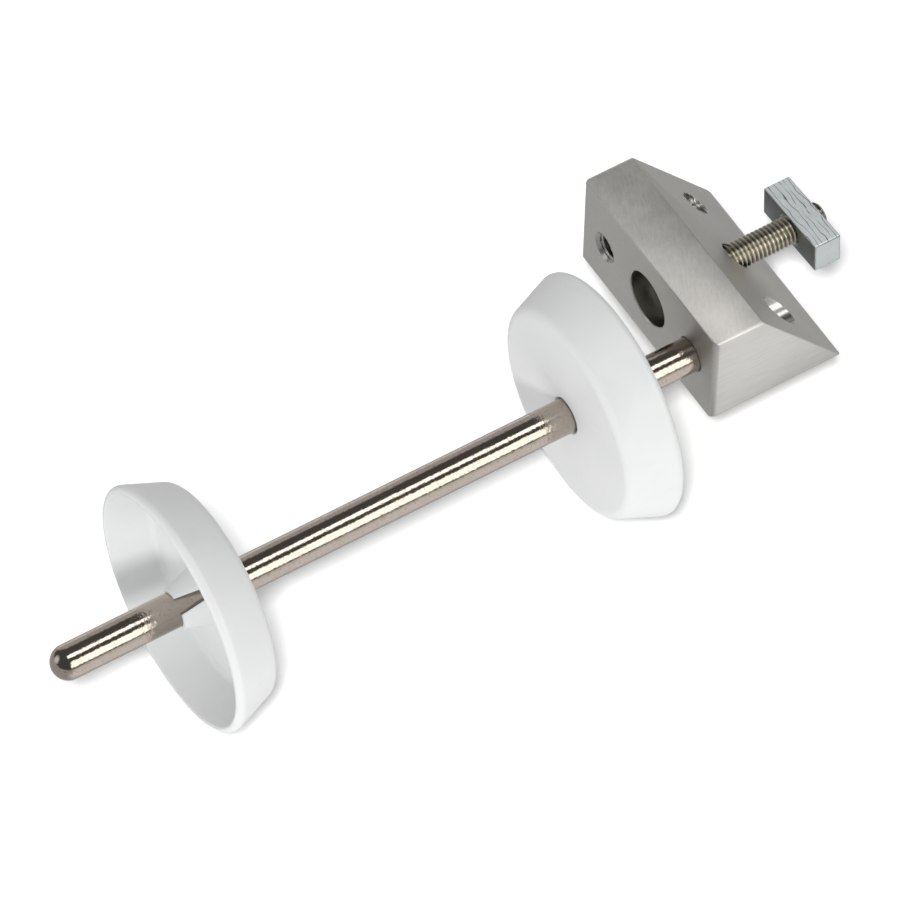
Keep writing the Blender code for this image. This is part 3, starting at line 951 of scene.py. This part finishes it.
def build_nut(settings):
    """The slot nut: a sawn length of bar with a countersunk hole."""
    zinc = zinc_bar(settings)
    thickness = NUT_HIGH.y - NUT_LOW.y
    shape = bmesh.new()
    bmesh.ops.create_cube(shape, size=1.0)
    bmesh.ops.scale(shape, verts=shape.verts, vec=(settings.length, thickness, settings.width))
    bevel(shape, lambda edge: True, settings.edge_break, 4)
    middle = Vector((0.0, (NUT_LOW.y + NUT_HIGH.y) / 2, 0.0))
    blank = mesh_from(shape, "nut", zinc, Matrix.Translation(middle) @ Matrix.Rotation(settings.turn, 4, "Y"))
    radius, sink = settings.hole_radius, settings.countersink
    reach = 2.0 * MM
    profile = [(0.0, -reach), (radius + sink, -reach), (radius + sink, 0.0), (radius, sink),
               (radius, thickness - sink), (radius + sink, thickness),
               (radius + sink, thickness + reach), (0.0, thickness + reach)]
    hole = tool(profile, 64, zinc, at(Vector((0.0, NUT_LOW.y, 0.0)), TO_RAIL))
    piece(boolean(blank, [hole], "DIFFERENCE"), "slot_nut_plated", "slot_nut", "slot_nut")


def build_grub(settings):
    """The grub screw under the rod, its hexagon socket facing down."""
    steel = black_oxide(settings)
    reach = GRUB_HIGH.z - GRUB_LOW.z
    foot = at(Vector((ROD_X, GRUB_Y, GRUB_LOW.z)))
    body = grow(thread_tree(), Length=reach, Pitch=settings.pitch, Crest=settings.crest_radius,
                Root=settings.root_radius, Chamfer=settings.chamfer,
                Rows=int(reach / settings.pitch * THREAD_ROWS), Columns=48, Material=steel)
    body.transform(foot)
    socket = hexagon(settings.socket_width, settings.socket_depth, steel, foot)
    piece(boolean(body, [socket], "DIFFERENCE"), "rod_set_screw_threaded", "rod_set_screw",
          "rod_set_screw", SMOOTH_THREAD)


# Stage


def add_camera(settings):
    """The camera, in its place round the aim point."""
    aim = Vector((8.63, -60.6, -0.83)) * MM
    across = math.cos(settings.elevation)
    back = Vector((math.sin(settings.azimuth) * across, -math.cos(settings.azimuth) * across,
                   math.sin(settings.elevation)))
    data = bpy.data.cameras.new("camera")
    data.lens = settings.lens
    data.sensor_width = 36.0
    data.clip_start = 0.05
    data.clip_end = 20.0
    camera = placed("camera", data)
    camera.location = aim + back * settings.distance
    upright = (-back).to_track_quat("-Z", "Y").to_matrix()
    camera.rotation_euler = (upright @ Matrix.Rotation(settings.roll, 3, "Z")).to_euler()
    bpy.context.scene.camera = camera


def add_light(name, direction, distance, size, power, receivers, in_metal=False, tint=WHITE):
    """A rectangular softbox of (width, length) in metres that faces the rod, its length along it.

    It either shows in the metal or lights the matt surfaces, so that each can be set alone.
    """
    data = bpy.data.lights.new(name, "AREA")
    data.shape = "RECTANGLE"
    data.size, data.size_y = size
    data.energy = power
    data.color = tint
    light = placed(name, data)
    facing = Vector(direction).normalized()
    sideways = TO_RAIL.cross(facing).normalized()
    turn = Matrix((sideways, facing.cross(sideways), facing)).transposed().to_4x4()
    middle = Vector((ROD_X, -60.0 * MM, 0.0))
    light.matrix_world = Matrix.Translation(middle + facing * distance) @ turn
    light.visible_camera = False
    light.visible_glossy = in_metal
    light.visible_diffuse = not in_metal
    light.light_linking.receiver_collection = receivers


def add_world(settings):
    """White behind the floor, a soft sky for matt surfaces and dim walls for the bright metal."""
    world = bpy.data.worlds.new("studio")
    bpy.context.scene.world = world
    world.use_nodes = True
    graph = Graph(world.node_tree)
    direction = graph.node("ShaderNodeTexCoord", output=0)
    height = graph.split(direction)[2]
    path = graph.node("ShaderNodeLightPath").socket.node
    seen, matt, bright = (Value(graph, path.outputs[name])
                          for name in ("Is Camera Ray", "Is Diffuse Ray", "Is Glossy Ray"))

    def glow(towards, narrow, wide):
        """A soft round patch of the world: whole within one angle of its middle, gone past another."""
        near = graph.node("ShaderNodeVectorMath", {"operation": "DOT_PRODUCT"},
                          (direction, Vector(towards).normalized()), output=1)
        return near.ramp(math.cos(math.radians(wide)), math.cos(math.radians(narrow)))

    above = height.ramp(-0.05, 0.1)
    walls = above * settings.wall_level + (1.0 - above) * settings.ground_level
    walls = walls + glow((0.75, MIRROR_Y, -0.58), 12.0, 48.0) * settings.low_glow
    walls = walls + glow((-0.93, MIRROR_Y, 0.18), 20.0, 32.0) * settings.left_glow
    walls = walls + glow((-0.494, -0.81, 0.32), 8.0, 24.0) * settings.front_glow
    backdrop = world.node_tree.nodes["Background"]
    backdrop.inputs["Color"].default_value = (*WHITE, 1.0)
    graph.feed(backdrop.inputs["Strength"], seen + matt * above * settings.sky_level + bright * walls)


def add_floor(settings):
    """The white floor under the cones, which the metal doesn't mirror."""
    ground = CAD_BOX[0].z - settings.floor_gap
    shape = bmesh.new()
    bmesh.ops.create_grid(shape, x_segments=8, y_segments=8, size=4.0)
    floor = placed("floor", mesh_from(shape, "floor", floor_white(), Matrix.Translation((0.0, 0.0, ground))))
    floor.visible_glossy = False
    return floor


def build_stage(settings):
    """Floor, softboxes, world and camera."""
    add_camera(settings)
    add_world(settings)
    floor = add_floor(settings)
    floor_only = bpy.data.collections.new("floor_only")
    floor_only.objects.link(floor)
    pieces = bpy.data.collections.new("all_but_floor")
    pieces.objects.link(floor)
    pieces.collection_objects[0].light_linking.link_state = "EXCLUDE"
    overhead, side = (0.107, MIRROR_Y, 0.942), (0.825, MIRROR_Y, 0.467)
    add_light("overhead_strip", overhead, NEAR, (0.38, STRIP_LENGTH), settings.overhead_power, pieces, True,
              (1.0, 0.99, 0.98))
    add_light("side_strip", side, NEAR, (0.8, STRIP_LENGTH), settings.side_power, pieces, True,
              (1.0, 0.98, 0.95))
    add_light("overhead_soft", overhead, NEAR, (0.5, STRIP_LENGTH), settings.overhead_soft, pieces)
    add_light("side_soft", side, NEAR, (0.8, STRIP_LENGTH), settings.side_soft, pieces)
    add_light("camera_fill", (0.66, -0.56, 0.50), FAR, (0.3, 0.3), settings.camera_power, pieces)
    add_light("front_fill", (-0.1, -0.88, 0.45), NEAR, (0.7, 0.7), settings.fill_power, pieces)
    add_light("floor_key", (0.434, -0.337, 0.834), FAR, (0.35, 0.35), settings.floor_power, floor_only)
    bpy.context.scene.view_settings.view_transform = "Standard"


# Operators


class SPOOL_OT_block(bpy.types.Operator):
    """Build the drilled and tapped mounting block"""

    bl_idname = "spool_holder.block"
    bl_label = "Mounting Block"

    def execute(self, context):
        build_block(context.scene.spool_block)
        return {"FINISHED"}


class SPOOL_OT_rod(bpy.types.Operator):
    """Build the plated rod"""

    bl_idname = "spool_holder.rod"
    bl_label = "Rod"

    def execute(self, context):
        build_rod(context.scene.spool_rod)
        return {"FINISHED"}


class SPOOL_OT_cones(bpy.types.Operator):
    """Build the front and the rear centring cone"""

    bl_idname = "spool_holder.cones"
    bl_label = "Centring Cones"

    def execute(self, context):
        settings = context.scene.spool_cones
        material = white_plastic(settings)
        build_cone(settings, "front_cone", TO_TIP, material)
        build_cone(settings, "rear_cone", TO_RAIL, material)
        return {"FINISHED"}


class SPOOL_OT_screw(bpy.types.Operator):
    """Build the clamp screw"""

    bl_idname = "spool_holder.screw"
    bl_label = "Clamp Screw"

    def execute(self, context):
        build_screw(context.scene.spool_screw)
        return {"FINISHED"}


class SPOOL_OT_nut(bpy.types.Operator):
    """Build the slot nut"""

    bl_idname = "spool_holder.nut"
    bl_label = "Slot Nut"

    def execute(self, context):
        build_nut(context.scene.spool_nut)
        return {"FINISHED"}


class SPOOL_OT_grub(bpy.types.Operator):
    """Build the grub screw that holds the rod"""

    bl_idname = "spool_holder.grub"
    bl_label = "Grub Screw"

    def execute(self, context):
        build_grub(context.scene.spool_grub)
        return {"FINISHED"}


class SPOOL_OT_stage(bpy.types.Operator):
    """Set up the camera, the floor and the lights"""

    bl_idname = "spool_holder.stage"
    bl_label = "Studio Stage"

    def execute(self, context):
        build_stage(context.scene.spool_stage)
        return {"FINISHED"}


SETTINGS = {
    "spool_block": SPOOL_PG_block,
    "spool_rod": SPOOL_PG_rod,
    "spool_cones": SPOOL_PG_cones,
    "spool_screw": SPOOL_PG_screw,
    "spool_nut": SPOOL_PG_nut,
    "spool_grub": SPOOL_PG_grub,
    "spool_stage": SPOOL_PG_stage,
}
OPERATORS = (SPOOL_OT_stage, SPOOL_OT_block, SPOOL_OT_rod, SPOOL_OT_cones, SPOOL_OT_screw,
             SPOOL_OT_nut, SPOOL_OT_grub)


class SPOOL_PT_sidebar(bpy.types.Panel):
    """Lists the spool holder's pieces in the sidebar"""

    bl_label = "Spool Holder"
    bl_idname = "SPOOL_PT_sidebar"
    bl_space_type = "VIEW_3D"
    bl_region_type = "UI"
    bl_category = "Spool Holder"

    def draw(self, context):
        for operator in OPERATORS:
            self.layout.operator(operator.bl_idname)


def register():
    """Register the settings, the operators and the panel."""
    for name, group in SETTINGS.items():
        bpy.utils.register_class(group)
        setattr(bpy.types.Scene, name, PointerProperty(type=group))
    for kind in (*OPERATORS, SPOOL_PT_sidebar):
        bpy.utils.register_class(kind)


def unregister():
    """Take everything that register added away again."""
    for kind in (SPOOL_PT_sidebar, *reversed(OPERATORS)):
        bpy.utils.unregister_class(kind)
    for name, group in reversed(SETTINGS.items()):
        delattr(bpy.types.Scene, name)
        bpy.utils.unregister_class(group)


def main():
    """Build the whole object."""
    register()
    bpy.ops.spool_holder.stage()
    bpy.ops.spool_holder.block()
    bpy.ops.spool_holder.rod()
    bpy.ops.spool_holder.cones()
    bpy.ops.spool_holder.screw()
    bpy.ops.spool_holder.nut()
    bpy.ops.spool_holder.grub()


if __name__ == "__main__":
    main()
